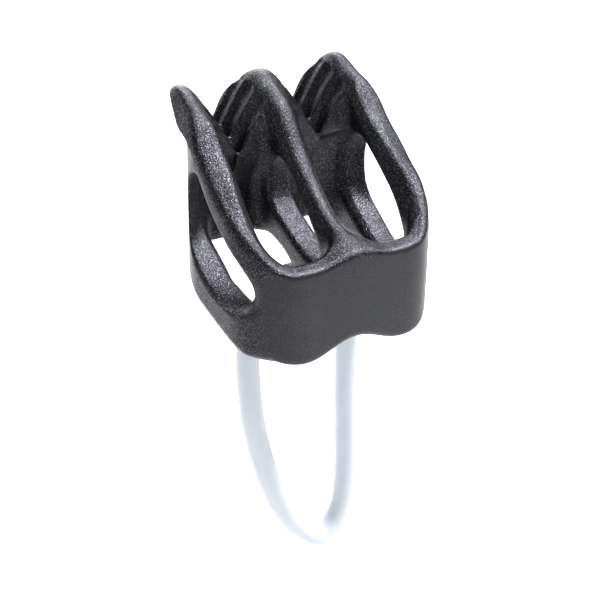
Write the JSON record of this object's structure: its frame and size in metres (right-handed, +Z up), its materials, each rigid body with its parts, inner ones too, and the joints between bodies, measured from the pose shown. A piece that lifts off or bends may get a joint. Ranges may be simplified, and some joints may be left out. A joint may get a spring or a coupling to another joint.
{
  "type": "tube belay device",
  "caption": "Tube belay device with two rope slots, toothed grooves on its brake side and a plastic-sleeved keeper loop below.",
  "frame": {"origin": "middle of the seat of the belay carabiner: on the centre plane, under the middle of the rope slots, level with the lowest point of the front wall", "axes": "+Z up towards the toothed grooves, -Y out of the front wall, +X to the right seen from the front"},
  "size_m": [0.0454, 0.0369, 0.0998],
  "materials": {
    "anodised_body": "dark grey hard anodised, speckled where tumbled, satin on the front wall",
    "sheath_plastic": "pale translucent plastic, glossy",
    "cable_steel": "stranded stainless steel",
    "ferrule_metal": "crimped, satin"
  },
  "bodies": {
    "body": {"body": "anodised_body"},
    "keeper_loop": {"loop_sheath": "sheath_plastic", "loop_cable": "cable_steel", "loop_ferrule": "ferrule_metal"}
  },
  "joints": [
    {"name": "keeper_loop_swing", "type": "hinge", "parent": "body", "child": "keeper_loop", "pos_m": [0, 0.005, 0.0068], "axis": [1, 0, 0], "range_deg": [-55, 100]}
  ]
}
